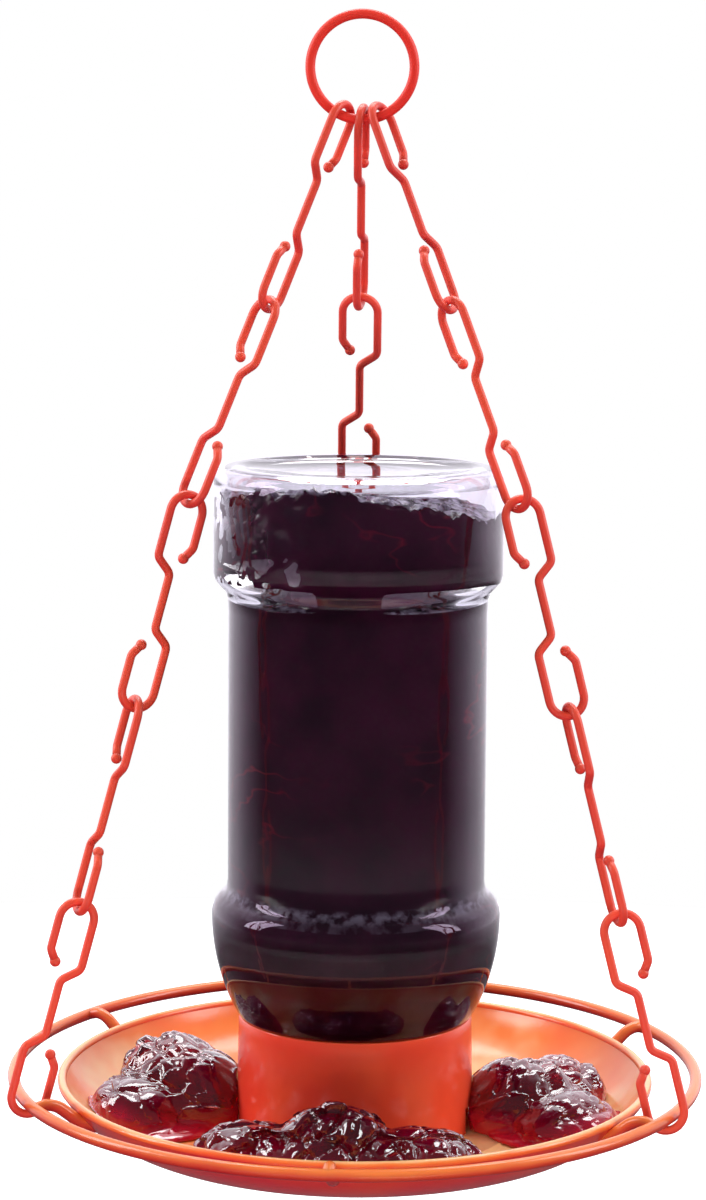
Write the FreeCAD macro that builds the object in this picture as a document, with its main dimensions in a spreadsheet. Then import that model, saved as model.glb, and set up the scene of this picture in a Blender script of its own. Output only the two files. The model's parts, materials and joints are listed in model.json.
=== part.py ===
import FreeCAD, Part
import Sketcher
import math
import os
import re

# Hanging jelly feeder for orioles: an inverted glass jar in the collar of a round dish,
# held by three chains of long open links from one hanging ring.
# Millimetres, +Z up the jar, origin at the centre of the dish's foot ring.

SIZES = {
    "ring_radius": 17.1,
    "ring_wire": 1.65,
    "ring_set_back": 2.1,
    "hook_spread": 6.2,
    "link_wire": 1.4,
    "link_loop_radius": 6.0,
    "link_shank": 19.0,
    "link_jog": 4.5,
    "link_return": 11.0,
    "link_tip_rise": 3.8,
    "link_tip_inset": 2.6,
    "link_tip_ball": 1.8,
    "contact_gap": 0.35,
    "ring_gap": 0.7,
    "perch_clearance": 1.4,
    "perch_wire": 2.0,
    "perch_rise": 2.6,
    "arm_wire": 2.0,
    "arm_rise": 1.2,
    "arm_reach": 8.0,
    "arm_seat_drop": 7.0,
    "dish_rim_radius": 101.0,
    "dish_rim_height": 21.4,
    "dish_rim_bead": 1.3,
    "dish_wall": 2.4,
    "dish_floor_radius": 68.0,
    "dish_floor_height": 3.0,
    "foot_inset": 6.0,
    "pad_radius": 12.0,
    "foot_width": 3.0,
    "collar_height": 43.6,
    "collar_wall": 2.4,
    "collar_flare": 0.8,
    "ledge_height": 16.0,
    "ledge_width": 4.5,
    "ledge_thickness": 2.2,
    "port_width": 24.0,
    "jar_neck_radius": 36.9,
    "jar_fit": 0.3,
    "jar_glass": 3.0,
    "jar_shoulder_step": 3.0,
    "jar_shoulder_swell": 5.4,
    "jar_shoulder_rise": 34.9,
    "jar_waist_rise": 7.5,
    "jar_body_radius": 43.4,
    "jar_heel_height": 43.2,
    "jar_heel_step": 6.0,
    "jar_heel_swell": 5.1,
    "jar_base_band": 10.5,
    "jar_base_round": 5.0,
    "jar_base_dome": 3.5,
    "jar_height": 230.2,
    "jelly_gap": 0.3,
    "jelly_headroom": 9.2,
    "jelly_slump": 10.0,
    "mound_size": 20.0,
    "chain_clearance": 3.5,
    "chain_bend_drop": 9.3,
}

# the chains: azimuth on the perch ring, side of the hook on the hanging ring, and the turn of
# each link's plane about the chain's line, counted from the radial plane
CHAINS = {
    "left": {"azimuth": 206.0, "side": -1.0, "turns": (218.0, 285.0, 190.0, 270.0, 0.0)},
    "right": {"azimuth": 335.0, "side": 1.0, "turns": (89.0, 155.0, 226.0, 134.0, 32.0)},
    "back": {"azimuth": 94.0, "side": 0.0, "turns": (-12.0, 85.0, -5.0, 88.0, 0.0)},
}
CHAIN_LINKS = 5
UPPER_LINKS = 2
ARM_COUNT = 6
ARM_START = 30.0

# the mounds: lumps as azimuth, share of the way from the collar to the dish's rim, and in
# mound sizes the height above the floor and the half sizes along the radius, across it and up
MOUNDS = {
    "left": ((180.0, 0.30, 0.30, 1.00, 0.90, 0.90), (188.0, 0.58, 0.15, 0.85, 1.00, 0.70),
             (168.0, 0.43, 0.40, 0.95, 0.85, 0.90)),
    "front": ((268.0, 0.33, 0.30, 0.90, 1.10, 0.90), (245.0, 0.41, 0.15, 0.80, 1.20, 0.70),
              (290.0, 0.41, 0.15, 0.80, 1.30, 0.70)),
    "right": ((2.0, 0.33, 0.25, 1.00, 1.00, 0.90), (350.0, 0.58, 0.15, 0.90, 0.95, 0.65),
              (13.0, 0.53, 0.25, 0.85, 0.85, 0.75)),
}

doc = FreeCAD.newDocument("oriole_feeder")
sheet = doc.addObject("Spreadsheet::Sheet", "Sizes")
for row, (name, value) in enumerate(SIZES.items(), start=1):
    sheet.set("A%d" % row, name)
    sheet.set("B%d" % row, str(value))
    sheet.setAlias("B%d" % row, name)
doc.recompute()

UP = FreeCAD.Vector(0, 0, 1)
TINY = 1e-9
SUBPARTS = []


def size(text):
    """The value of an expression on the sheet's names, in millimetres."""
    return float(sheet.evalExpression(text))


def sheet_names(text):
    """The same expression as an object outside the sheet writes it."""
    return re.sub("[a-z_]+", lambda word: "Sizes." * (word.group() in SIZES) + word.group(), text)


def bind(thing, **sizes):
    """Bind each named property of an object to an expression on the sheet's names."""
    for name, text in sizes.items():
        thing.setExpression(name, sheet_names(text))
    return thing


def subpart(thing, name):
    """Label a finished piece and remember it for its file."""
    thing.Label = name
    SUBPARTS.append(thing)
    return thing


def sketch_on(body, name, plane, points, curves):
    """A sketch in one of the body's own planes, with its corner points bound to the sheet.

    points are pairs of expressions. A curve is a pair of points for a line, and for an arc
    the points where it starts and ends anticlockwise, and its centre.
    """
    sketch = body.newObject("Sketcher::SketchObject", name)
    planes = [item for item in body.Origin.OriginFeatures if item.Role == plane]
    sketch.AttachmentSupport = (planes[0], [""])
    sketch.MapMode = "FlatFace"
    places = [FreeCAD.Vector(size(across), size(along), 0) for across, along in points]
    joined = {}
    for curve in curves:
        corners = [places[point] for point in curve]
        shape = Part.LineSegment(*corners) if len(curve) == 2 else arc_about(*corners)
        index = sketch.addGeometry(shape, False)
        for point, end in zip(curve, (1, 2)):
            if point in joined:
                sketch.addConstraint(Sketcher.Constraint("Coincident", *joined[point], index, end))
            else:
                joined[point] = (index, end)
                pin(sketch, index, end, "X", points[point][0])
                pin(sketch, index, end, "Y", points[point][1])
        if len(curve) == 3:
            pin(sketch, index, 3, "Y", points[curve[2]][1])
    return sketch


def arc_about(start, end, centre):
    """The arc that runs anticlockwise from start to end about a centre."""
    circle = Part.Circle(centre, UP, (start - centre).Length)
    first = math.atan2(start.y - centre.y, start.x - centre.x)
    last = math.atan2(end.y - centre.y, end.x - centre.x)
    return Part.ArcOfCircle(circle, first, last)


def pin(sketch, index, end, axis, text):
    """Tie one coordinate of a curve's point to an expression."""
    if abs(size(text)) < TINY:
        across = -2 if axis == "X" else -1
        sketch.addConstraint(Sketcher.Constraint("PointOnObject", index, end, across))
        return
    kind = "Distance" + axis
    row = sketch.addConstraint(Sketcher.Constraint(kind, -1, 1, index, end, size(text)))
    sketch.setExpression("Constraints[%d]" % row, sheet_names(text))


def closed(count, arcs=()):
    """Lines that join an outline's points in turn, with arcs in place of some of them."""
    rounded = [set(arc[:2]) for arc in arcs]
    lines = [(one, (one + 1) % count) for one in range(count)]
    return [line for line in lines if set(line) not in rounded] + list(arcs)


def revolved(name, outline, arcs=(), centres=()):
    """A body turned about Z from an outline of (radius, height) expressions."""
    body = doc.addObject("PartDesign::Body", name)
    profile = sketch_on(body, name + "_profile", "XZ_Plane", list(outline) + list(centres),
                        closed(len(outline), arcs))
    turn = body.newObject("PartDesign::Revolution", name + "_turn")
    turn.Profile = profile
    turn.ReferenceAxis = (profile, ["V_Axis"])
    turn.Angle = 360.0
    return body


def swept(name, points, curves, wire):
    """A body of round wire along a path in its own XZ plane, which crosses z = 0 at x = 0."""
    body = doc.addObject("PartDesign::Body", name + "_body")
    path = sketch_on(body, name + "_path", "XZ_Plane", points, curves)
    section = body.newObject("Sketcher::SketchObject", name + "_section")
    planes = [item for item in body.Origin.OriginFeatures if item.Role == "XY_Plane"]
    section.AttachmentSupport = (planes[0], [""])
    section.MapMode = "FlatFace"
    add_wire(body, name, path, section, wire)
    return body


def add_wire(body, name, path, section, wire):
    """Draw the round section in its sketch and sweep it along the path."""
    section.addGeometry(Part.Circle(FreeCAD.Vector(0, 0, 0), UP, size(wire)), False)
    section.addConstraint(Sketcher.Constraint("Coincident", 0, 3, -1, 1))
    row = section.addConstraint(Sketcher.Constraint("Radius", 0, size(wire)))
    section.setExpression("Constraints[%d]" % row, sheet_names(wire))
    doc.recompute()
    pipe = body.newObject("PartDesign::AdditivePipe", name + "_wire")
    pipe.Profile = section
    pipe.Spine = (path, [])
    pipe.Transition = "Round corner"


# Dish, perch ring and collar, moulded together

DISH_ARC = ("((dish_rim_radius - dish_floor_radius)^2 + (dish_rim_height - dish_floor_height)^2)"
            " / (2 * (dish_rim_height - dish_floor_height))")
DISH_TOP = "dish_floor_height + dish_wall"
COLLAR_BORE = "jar_neck_radius + jar_fit"
COLLAR_RADIUS = COLLAR_BORE + " + collar_wall"
FOOT_RADIUS = "dish_floor_radius - foot_inset"
WALL_CENTRE = ("dish_floor_radius", "dish_floor_height + " + DISH_ARC)
PERCH_RADIUS = "dish_rim_radius + 2 * link_loop_radius + link_wire + perch_clearance"
PERCH_HEIGHT = "dish_rim_height + perch_rise"


def dish_inner_rim(inset):
    """Radius of the dish's inner wall, drawn in by an inset, at the height of the rim."""
    reach = "(%s - %s)^2 - (%s + dish_floor_height - dish_rim_height)^2" % (DISH_ARC, inset, DISH_ARC)
    return "dish_floor_radius + sqrt(%s)" % reach


def make_dish():
    """Foot ring, centre pad, floor, bowl wall and the bead round its rim."""
    foot_in = FOOT_RADIUS + " - foot_width / 2"
    foot_out = FOOT_RADIUS + " + foot_width / 2"
    outline = [("0", "0"), ("pad_radius", "0"), ("pad_radius", "dish_floor_height"),
               (foot_in, "dish_floor_height"), (foot_in, "0"), (foot_out, "0"),
               (foot_out, "dish_floor_height"), ("dish_floor_radius", "dish_floor_height"),
               ("dish_rim_radius", "dish_rim_height"),
               (dish_inner_rim("dish_wall"), "dish_rim_height"),
               ("dish_floor_radius", DISH_TOP), ("0", DISH_TOP)]
    bowl = revolved("dish_bowl", outline, [(7, 8, 12), (10, 9, 12)], [WALL_CENTRE])
    bead = make_ring("dish_bead", "dish_rim_radius - dish_rim_bead", "dish_rim_bead",
                     "dish_rim_height")
    dish = doc.addObject("Part::MultiFuse", "dish")
    dish.Shapes = [bowl, bead]
    return subpart(dish, "feeding_tray")


def make_ring(name, radius, wire, height):
    """A round wire ring that lies flat at a height."""
    ring = doc.addObject("Part::Torus", name)
    bind(ring, Radius1=radius, Radius2=wire)
    ring.setExpression("Placement.Base.z", sheet_names(height))
    return ring


def make_arm(index):
    """A round arm that leaves the perch ring, bends down and meets the dish under its rim."""
    seat_height = "dish_rim_height - arm_seat_drop"
    seat_radius = ("dish_floor_radius + sqrt((%s)^2 - (%s + dish_floor_height - %s)^2)"
                   " - dish_wall / 2" % (DISH_ARC, DISH_ARC, "(" + seat_height + ")"))
    name = "arm_%d" % (index + 1)
    body = doc.addObject("PartDesign::Body", name)
    points = [(PERCH_RADIUS, PERCH_HEIGHT),
              (PERCH_RADIUS + " - arm_reach / 2", PERCH_HEIGHT + " + arm_rise"),
              (PERCH_RADIUS + " - arm_reach", PERCH_HEIGHT), (seat_radius, seat_height)]
    path = sketch_on(body, name + "_path", "XZ_Plane", points, [(0, 1), (1, 2), (2, 3)])
    doc.recompute()
    section = body.newObject("Sketcher::SketchObject", name + "_section")
    section.AttachmentSupport = [(path, "Edge1")]
    section.MapMode = "NormalToEdge"
    add_wire(body, name, path, section, "arm_wire")
    turn = FreeCAD.Rotation(UP, ARM_START + index * 360.0 / ARM_COUNT)
    body.Placement = FreeCAD.Placement(FreeCAD.Vector(0, 0, 0), turn)
    return body


def make_perch():
    """The perch ring and its arms, which end on the outside of the dish's wall."""
    core = [("0", "dish_floor_height"), ("dish_floor_radius", "dish_floor_height"),
            ("dish_rim_radius", "dish_rim_height"), ("0", "dish_rim_height")]
    blank = doc.addObject("Part::MultiFuse", "perch_blank")
    blank.Shapes = [make_ring("perch_wire_ring", PERCH_RADIUS, "perch_wire", PERCH_HEIGHT)]
    blank.Shapes += [make_arm(index) for index in range(ARM_COUNT)]
    perch = doc.addObject("Part::Cut", "perch")
    perch.Base = blank
    perch.Tool = revolved("dish_core", core, [(1, 2, 4)], [WALL_CENTRE])
    return subpart(perch, "perch_ring")


def make_port(name, degrees):
    """A slot through both sides of the collar's foot, under the ledge."""
    span = "2 * (%s + collar_flare + collar_wall)" % COLLAR_RADIUS
    slot = bind(doc.addObject("Part::Box", name), Length=span, Width="port_width",
                Height="ledge_height - ledge_thickness - dish_floor_height - dish_wall")
    turn = FreeCAD.Rotation(UP, degrees)
    corner = FreeCAD.Vector(-size(span) / 2, -size("port_width") / 2, size(DISH_TOP))
    slot.Placement = FreeCAD.Placement(turn.multVec(corner), turn)
    return slot


def make_collar():
    """The collar round the jar's neck, with a ledge for the jar's mouth and slots at its foot."""
    outline = [(COLLAR_BORE, DISH_TOP), (COLLAR_RADIUS + " + collar_flare", DISH_TOP),
               (COLLAR_RADIUS, "collar_height"), (COLLAR_BORE, "collar_height"),
               (COLLAR_BORE, "ledge_height"), (COLLAR_BORE + " - ledge_width", "ledge_height"),
               (COLLAR_BORE + " - ledge_width", "ledge_height - ledge_thickness"),
               (COLLAR_BORE, "ledge_height - ledge_thickness")]
    slots = doc.addObject("Part::MultiFuse", "collar_slots")
    slots.Shapes = [make_port("port_across", 0.0), make_port("port_along", 90.0)]
    collar = doc.addObject("Part::Cut", "collar")
    collar.Base = revolved("collar_blank", outline)
    collar.Tool = slots
    return subpart(collar, "jar_collar")


# Jar and jelly

SHOULDER_FOOT = "jar_neck_radius + jar_shoulder_step"
SHOULDER_RADIUS = "jar_body_radius + jar_shoulder_swell"
SHOULDER_HEIGHT = "collar_height + jar_shoulder_rise"
HEEL_RADIUS = "jar_body_radius + jar_heel_swell"
HEEL_START = "jar_height - jar_heel_height"
BASE_RING = HEEL_RADIUS + " - jar_base_band"


def jar_outline(inset):
    """Points of the jar's side drawn in by an inset, from the mouth up to the heel."""
    rise = "collar_height + jar_fit + (%s)" % inset
    return [("jar_neck_radius - (%s)" % inset, "ledge_height + jar_fit"),
            ("jar_neck_radius - (%s)" % inset, rise),
            (SHOULDER_FOOT + " - (%s)" % inset, rise),
            (SHOULDER_RADIUS + " - (%s)" % inset, SHOULDER_HEIGHT),
            ("jar_body_radius - (%s)" % inset, SHOULDER_HEIGHT + " + jar_waist_rise"),
            ("jar_body_radius - (%s)" % inset, HEEL_START),
            (HEEL_RADIUS + " - (%s)" % inset, HEEL_START + " + jar_heel_step")]


def jar_arcs(inset, first):
    """The shoulder's two arcs, and their centres as points from number first on."""
    across = "(%s - %s)" % (SHOULDER_RADIUS, "(" + SHOULDER_FOOT + ")")
    rise = "(jar_shoulder_rise - jar_fit - (%s))" % inset
    swell = "(%s^2 + %s^2) / (2 * %s)" % (across, rise, across)
    tuck = "(jar_shoulder_swell^2 + jar_waist_rise^2) / (2 * jar_shoulder_swell)"
    centres = [("%s - (%s) - %s" % (SHOULDER_RADIUS, inset, radius), SHOULDER_HEIGHT)
               for radius in (swell, tuck)]
    return [(2, 3, first), (3, 4, first + 1)], centres


def make_jar():
    """The glass: its outside less the hollow, which is open at the mouth below."""
    top_edge = "jar_height - jar_base_round"
    outline = jar_outline("0") + [
        (HEEL_RADIUS, top_edge), (HEEL_RADIUS + " - jar_base_round", "jar_height"),
        (BASE_RING, "jar_height"), ("0", "jar_height - jar_base_dome"),
        ("0", "ledge_height + jar_fit")]
    arcs, centres = jar_arcs("0", len(outline))
    corner = (HEEL_RADIUS + " - jar_base_round", top_edge)
    outside = revolved("jar_outside", outline, arcs + [(7, 8, len(outline) + 2)],
                       centres + [corner])
    jar = doc.addObject("Part::Cut", "jar")
    jar.Base = outside
    jar.Tool = make_hollow("jar_hollow", "jar_glass", "jar_fit")
    return subpart(jar, "glass_jar")


def make_hollow(name, inset, foot_drop):
    """The jar's inside drawn in by an inset, with its foot lowered past the mouth."""
    crown = "jar_height - (%s)" % inset
    outline = jar_outline(inset) + [(HEEL_RADIUS + " - (%s)" % inset, crown + " - jar_base_round"),
                                    (BASE_RING + " - (%s)" % inset, crown),
                                    ("0", crown + " - jar_base_dome"),
                                    ("0", "ledge_height + jar_fit - (%s)" % foot_drop)]
    outline[0] = (outline[0][0], outline[-1][1])
    arcs, centres = jar_arcs(inset, len(outline))
    return revolved(name, outline, arcs, centres)


def make_jelly():
    """The jelly in the jar, with its slumped top."""
    inset = "jar_glass + jelly_gap"
    jelly = make_hollow("jelly_mass", inset, "-jelly_gap")
    air = bind(doc.addObject("Part::Box", "jelly_air"), Length="4 * (%s)" % HEEL_RADIUS,
               Width="4 * (%s)" % HEEL_RADIUS, Height="jar_height")
    slope = FreeCAD.Rotation(FreeCAD.Vector(0, 1, 0), size("jelly_slump"))
    half = 2 * size(HEEL_RADIUS)
    corner = slope.multVec(FreeCAD.Vector(-half, -half, 0))
    level = UP * size("jar_height - jelly_headroom")
    air.Placement = FreeCAD.Placement(corner + level, slope)
    fill = doc.addObject("Part::Cut", "jelly")
    fill.Base = jelly
    fill.Tool = air
    return subpart(fill, "jelly_fill")


def make_mounds():
    """Three lumpy heaps of jelly, cut to lie just clear of the dish and the collar."""
    foot = DISH_TOP + " + jelly_gap"
    inner = COLLAR_RADIUS + " + collar_flare + jelly_gap"
    inset = "(dish_wall + jelly_gap)"
    outline = [(inner, foot), ("dish_floor_radius", foot),
               (dish_inner_rim(inset), "dish_rim_height"),
               (dish_inner_rim(inset), "2 * collar_height"), (inner, "2 * collar_height")]
    for side, lumps in MOUNDS.items():
        heap = doc.addObject("Part::MultiFuse", "heap_" + side)
        heap.Shapes = [make_lump(side, number, *lump) for number, lump in enumerate(lumps)]
        mound = doc.addObject("Part::Common", "mound_" + side)
        mound.Base = heap
        mound.Tool = revolved("room_" + side, outline, [(1, 2, 5)], [WALL_CENTRE])
        subpart(mound, "jelly_mound_" + side)


def make_lump(side, number, azimuth, share, height, along, across, upward):
    lump = doc.addObject("Part::Ellipsoid", "lump_%s_%d" % (side, number))
    bind(lump, Radius1="%g * mound_size" % upward, Radius2="%g * mound_size" % along,
         Radius3="%g * mound_size" % across)
    turn = FreeCAD.Rotation(UP, azimuth)
    distance = size("%s + %g * (dish_rim_radius - (%s))" % (COLLAR_RADIUS, share, COLLAR_RADIUS))
    level = size("%s + %g * mound_size" % (DISH_TOP, height))
    lump.Placement = FreeCAD.Placement(turn.multVec(FreeCAD.Vector(distance, 0, level)), turn)
    return lump


# Hanging ring and chains

BEND_REACH = HEEL_RADIUS + " + chain_clearance + link_loop_radius + link_wire"
BEND_HEIGHT = "jar_height - chain_bend_drop"
LOWER_CHAIN = ("sqrt((%s - (%s))^2 + (%s - (%s))^2)"
               % (BEND_HEIGHT, PERCH_HEIGHT, PERCH_RADIUS, BEND_REACH))
LINK_PITCH = ("(%s + perch_wire + contact_gap / 2) / %d"
              % (LOWER_CHAIN, CHAIN_LINKS - UPPER_LINKS))
LINK_HALF = "(%s) / 2 + link_wire + contact_gap / 2" % LINK_PITCH


def joint_places(name):
    """The chain's joint points from the ring down, and its tangent direction."""
    chain = CHAINS[name]
    angle = math.radians(chain["azimuth"])
    outward = FreeCAD.Vector(math.cos(angle), math.sin(angle), 0)
    along = FreeCAD.Vector(-math.sin(angle), math.cos(angle), 0)
    pitch = size(LINK_PITCH)
    above = size("ring_wire + ring_gap - contact_gap / 2")
    perch = outward * size(PERCH_RADIUS) + UP * size(PERCH_HEIGHT)
    hook = FreeCAD.Vector(chain["side"] * size("hook_spread"), size("ring_set_back"), 0)
    hook.z = ring_height() - math.sqrt(size("ring_radius") ** 2 - hook.x ** 2)
    upper = math.sqrt((UPPER_LINKS * pitch - above) ** 2 - hook.dot(along) ** 2)
    bend = outer_meeting((perch.dot(outward), perch.z), size(LOWER_CHAIN),
                         (hook.dot(outward), hook.z), upper)
    bend = outward * bend[0] + UP * bend[1]
    rise = (hook - bend).normalize() * pitch
    fall = (perch - bend).normalize() * pitch
    places = [bend + rise * (UPPER_LINKS - step) for step in range(UPPER_LINKS)]
    places += [bend + fall * step for step in range(CHAIN_LINKS - UPPER_LINKS + 1)]
    return places, along


def outer_meeting(one, one_reach, other, other_reach):
    """Where two circles in a (radius, height) plane meet, on the side away from the axis."""
    across = other[0] - one[0]
    up = other[1] - one[1]
    apart = math.hypot(across, up)
    foot = (apart ** 2 + one_reach ** 2 - other_reach ** 2) / (2 * apart)
    side = math.sqrt(one_reach ** 2 - foot ** 2)
    choices = [(one[0] + (across * foot - sign * up * side) / apart,
                one[1] + (up * foot + sign * across * side) / apart) for sign in (1, -1)]
    return max(choices)


def ring_height():
    """Height of the hanging ring's centre, with the left chain laid over the jar's heel."""
    chain = CHAINS["left"]
    angle = math.radians(chain["azimuth"])
    reach = size(BEND_REACH)
    upper = UPPER_LINKS * size(LINK_PITCH) - size("ring_wire + ring_gap - contact_gap / 2")
    across = reach * math.cos(angle) - chain["side"] * size("hook_spread")
    level = math.hypot(across, reach * math.sin(angle) - size("ring_set_back"))
    bar = size(BEND_HEIGHT) + math.sqrt(upper ** 2 - level ** 2)
    return bar + math.sqrt(size("ring_radius") ** 2 - size("hook_spread") ** 2)


def make_hanging_ring():
    """The ring stands upright in the XZ plane."""
    ring = doc.addObject("Part::Torus", "ring")
    bind(ring, Radius1="ring_radius", Radius2="ring_wire")
    upright = FreeCAD.Rotation(FreeCAD.Vector(1, 0, 0), 90)
    centre = FreeCAD.Vector(0, size("ring_set_back"), ring_height())
    ring.Placement = FreeCAD.Placement(centre, upright)
    return subpart(ring, "hanging_ring")


def make_link(name, top, bottom, along, degrees):
    """One S-shaped open link, its line from bottom to top and its plane turned about it."""
    loop = "(%s - link_loop_radius)" % LINK_HALF
    half = [("link_loop_radius - link_tip_inset", loop + " - link_return - link_tip_rise"),
            ("link_loop_radius", loop + " - link_return"), ("link_loop_radius", loop),
            ("-link_loop_radius", loop), ("-link_loop_radius", "link_shank / 2 + link_jog"),
            ("0", "link_shank / 2")]
    other = [(negative(across), negative(up)) for across, up in reversed(half)]
    points = half + other + [("0", loop), ("0", negative(loop))]
    lines = [(one, one + 1) for one in range(len(half) + len(other) - 1) if one not in (2, 8)]
    body = swept(name, points, lines + [(2, 3, 12), (9, 8, 13)], "link_wire")
    link = doc.addObject("Part::MultiFuse", name + "_piece")
    tips = [make_tip(name + "_tip_%s" % end, half[0], sign)
            for end, sign in (("top", ""), ("bottom", "-"))]
    link.Shapes = [body] + tips
    line = (top - bottom).normalize()
    outward = along.cross(line).normalize()
    side = line.cross(outward)
    angle = math.radians(degrees)
    across = outward * math.cos(angle) + side * math.sin(angle)
    turn = FreeCAD.Rotation(across, line.cross(across), line, "ZXY")
    link.Placement = FreeCAD.Placement((top + bottom) * 0.5, turn)
    return subpart(link, name)


def negative(text):
    return "0" if text == "0" else "-(%s)" % text


def make_tip(name, place, sign):
    """The ball on the end of a link's returning leg."""
    tip = bind(doc.addObject("Part::Sphere", name), Radius="link_tip_ball")
    tip.setExpression("Placement.Base.x", sheet_names("%s(%s)" % (sign, place[0])))
    tip.setExpression("Placement.Base.z", sheet_names("%s(%s)" % (sign, place[1])))
    return tip


def make_chain(name):
    places, along = joint_places(name)
    for number, degrees in enumerate(CHAINS[name]["turns"]):
        make_link("%s_link_%d" % (name, number + 1), places[number], places[number + 1],
                  along, degrees)


make_dish()
make_perch()
make_collar()
make_jar()
make_jelly()
make_mounds()
make_hanging_ring()
for chain_name in CHAINS:
    make_chain(chain_name)
doc.recompute()

for item in doc.Objects:
    if {"Invalid", "Error"} & set(item.State):
        raise RuntimeError("failed: " + item.Name)
for piece in SUBPARTS:
    if piece.Shape.isNull() or not piece.Shape.isValid():
        raise RuntimeError("no valid solid: " + piece.Label)

os.makedirs("parts", exist_ok=True)
for piece in SUBPARTS:
    piece.Shape.exportStep("parts/%s.step" % piece.Label)
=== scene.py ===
import json
import math

import bmesh
import bpy
from mathutils import Matrix, Vector, noise


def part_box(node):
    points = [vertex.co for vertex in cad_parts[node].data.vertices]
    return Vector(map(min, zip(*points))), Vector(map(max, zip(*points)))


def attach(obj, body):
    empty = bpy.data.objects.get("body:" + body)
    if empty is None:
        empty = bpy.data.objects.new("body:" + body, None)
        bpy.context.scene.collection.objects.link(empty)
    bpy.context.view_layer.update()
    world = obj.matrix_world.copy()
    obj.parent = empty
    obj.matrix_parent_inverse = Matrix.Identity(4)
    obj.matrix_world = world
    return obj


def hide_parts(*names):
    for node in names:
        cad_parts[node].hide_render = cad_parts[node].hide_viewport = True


# A hanging jelly feeder for orioles, in metres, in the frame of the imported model.
# The tray, the links, the ring, the glass and the jelly are finished meshes around its solids.

MM = 0.001
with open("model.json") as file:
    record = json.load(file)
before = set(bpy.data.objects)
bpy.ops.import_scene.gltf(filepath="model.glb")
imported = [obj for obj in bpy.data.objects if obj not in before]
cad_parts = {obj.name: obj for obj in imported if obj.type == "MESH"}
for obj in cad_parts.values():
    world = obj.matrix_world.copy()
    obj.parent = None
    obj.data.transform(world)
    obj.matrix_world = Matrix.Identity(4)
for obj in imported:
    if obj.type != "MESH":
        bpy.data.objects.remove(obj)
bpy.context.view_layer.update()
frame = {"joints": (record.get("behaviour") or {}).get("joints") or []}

# Sizes that the meshes share with the solids, in millimetres
RING_RADIUS = 17.1
RING_WIRE = 1.65
LINK_WIRE = 1.4
LINK_TIP = 1.8
LINK_HALF = 36.075
LINK_BEND = 3.2
LOOP_RADIUS = 6.0
SHANK_HALF = 9.5
JOG = 4.5
RETURN = 11.0
TIP_RISE = 3.8
TIP_INSET = 2.6
PERCH_RADIUS = 115.8
PERCH_WIRE = 2.0
PERCH_HEIGHT = 24.0
RIM_RADIUS = 101.0
RIM_HEIGHT = 21.4
WALL = 2.4
FLOOR_RADIUS = 68.0
FLOOR_HEIGHT = 3.0
LIP_RADIUS = 1.5
BEAD_RADIUS = 55.0
FOOT_RADIUS = 62.0
FOOT_WIDTH = 3.0
PAD_RADIUS = 12.0
COLLAR_BORE = 37.2
COLLAR_WALL = 2.4
COLLAR_FLARE = 0.8
COLLAR_HEIGHT = 43.6
LEDGE_HEIGHT = 16.0
LEDGE_WIDTH = 4.5
LEDGE_THICKNESS = 2.2
PORT_WIDTH = 24.0
ARM_COUNT = 6
ARM_START = 30.0
ARM_FLARE = 0.3

# The jelly in the jar: how it wets the glass, how its top slumps, and its ring of air
FILL_BOTTOM = 17.0
WETTING = 0.12
JELLY_PEAK = -6.0
JELLY_CREST = 227.5
RIGHT_FALL = 0.25
LEFT_FALL = 0.14
BASE_UNDERSIDE = 225.3
BASE_RISE = 2.0
BASE_RADIUS = 41.0
HEEL_START = 190.0
POCKET_REACH = 30.0
POCKET_SIDE = -12.0
POCKET_FADE = 20.0
POCKET_DEPTH = 4.0
GROOVE_HEIGHT = 190.0
GROOVE_HALF = 3.6
GROOVE_DEPTH = 9.0
GROOVE_REACH = 35.0
GROOVE_SIDE = 10.0
GROOVE_FADE = 22.0
FINE_STEP = 0.5
COARSE_STEP = 1.6

# The heaps of jelly in the dish, kept off the plastic by gaps
HEAP_VOXEL = 0.9
HEAP_FADE = 12.0
HEAP_SETTLE = 1.0
FLOOR_GAP = 0.4
COLLAR_GAP = 0.15
FOOT_DEPTH = 9.0

# Fineness of the round meshes, and the angle from which an edge stays sharp
TRAY_STEPS = 256
PERCH_STEPS = 220
RING_STEPS = 96
JAR_STEPS = 192
FILL_STEPS = 220
CROWN_STEPS = 60
CORNER = math.radians(35)

# Ends of a mask
BLACK = (0.0, 0.0, 0.0)
WHITE = (1.0, 1.0, 1.0)

# The turn of each link's plane about its chain's line, from the ring down
CHAIN_AZIMUTH = {"left": 206.0, "right": 335.0, "back": 94.0}
CHAIN_TURNS = {
    "left": (218.0, 285.0, 190.0, 270.0, 0.0),
    "right": (89.0, 155.0, 226.0, 134.0, 32.0),
    "back": (-12.0, 85.0, -5.0, 88.0, 0.0),
}

# The photograph's camera, in its 706 by 1200 frame: it stands low in front of the tray
IMAGE_HEIGHT = 1200
FOCAL_PIXELS = 3128.8
CAMERA_TURN = 4.0
CAMERA_BACK = 1036.2
CAMERA_RIGHT = -1.7
CAMERA_UP = 330.7
CAMERA_TILT = 8.0
CAMERA_ROLL = 0.4
SENSOR = 36.0

# The studio: its world light behind and in front, and the floor far below the hanging feeder
BACK_LIGHT = 1.6
DIM_LIGHT = 0.14
THROUGH_GLASS = 1.2
LIGHT_TARGET = (0, 0, 0.12)
FLOOR_GLOW = 0.45
FLOOR_REACH = 1.6
FLOOR_DEPTH = -0.3


def finished(name, mesh, material, smooth=True):
    """A scene object from a mesh, with one material."""
    thing = bpy.data.objects.new(name, mesh)
    bpy.context.collection.objects.link(thing)
    mesh.materials.append(material)
    for face in mesh.polygons:
        face.use_smooth = smooth
    return thing


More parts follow.
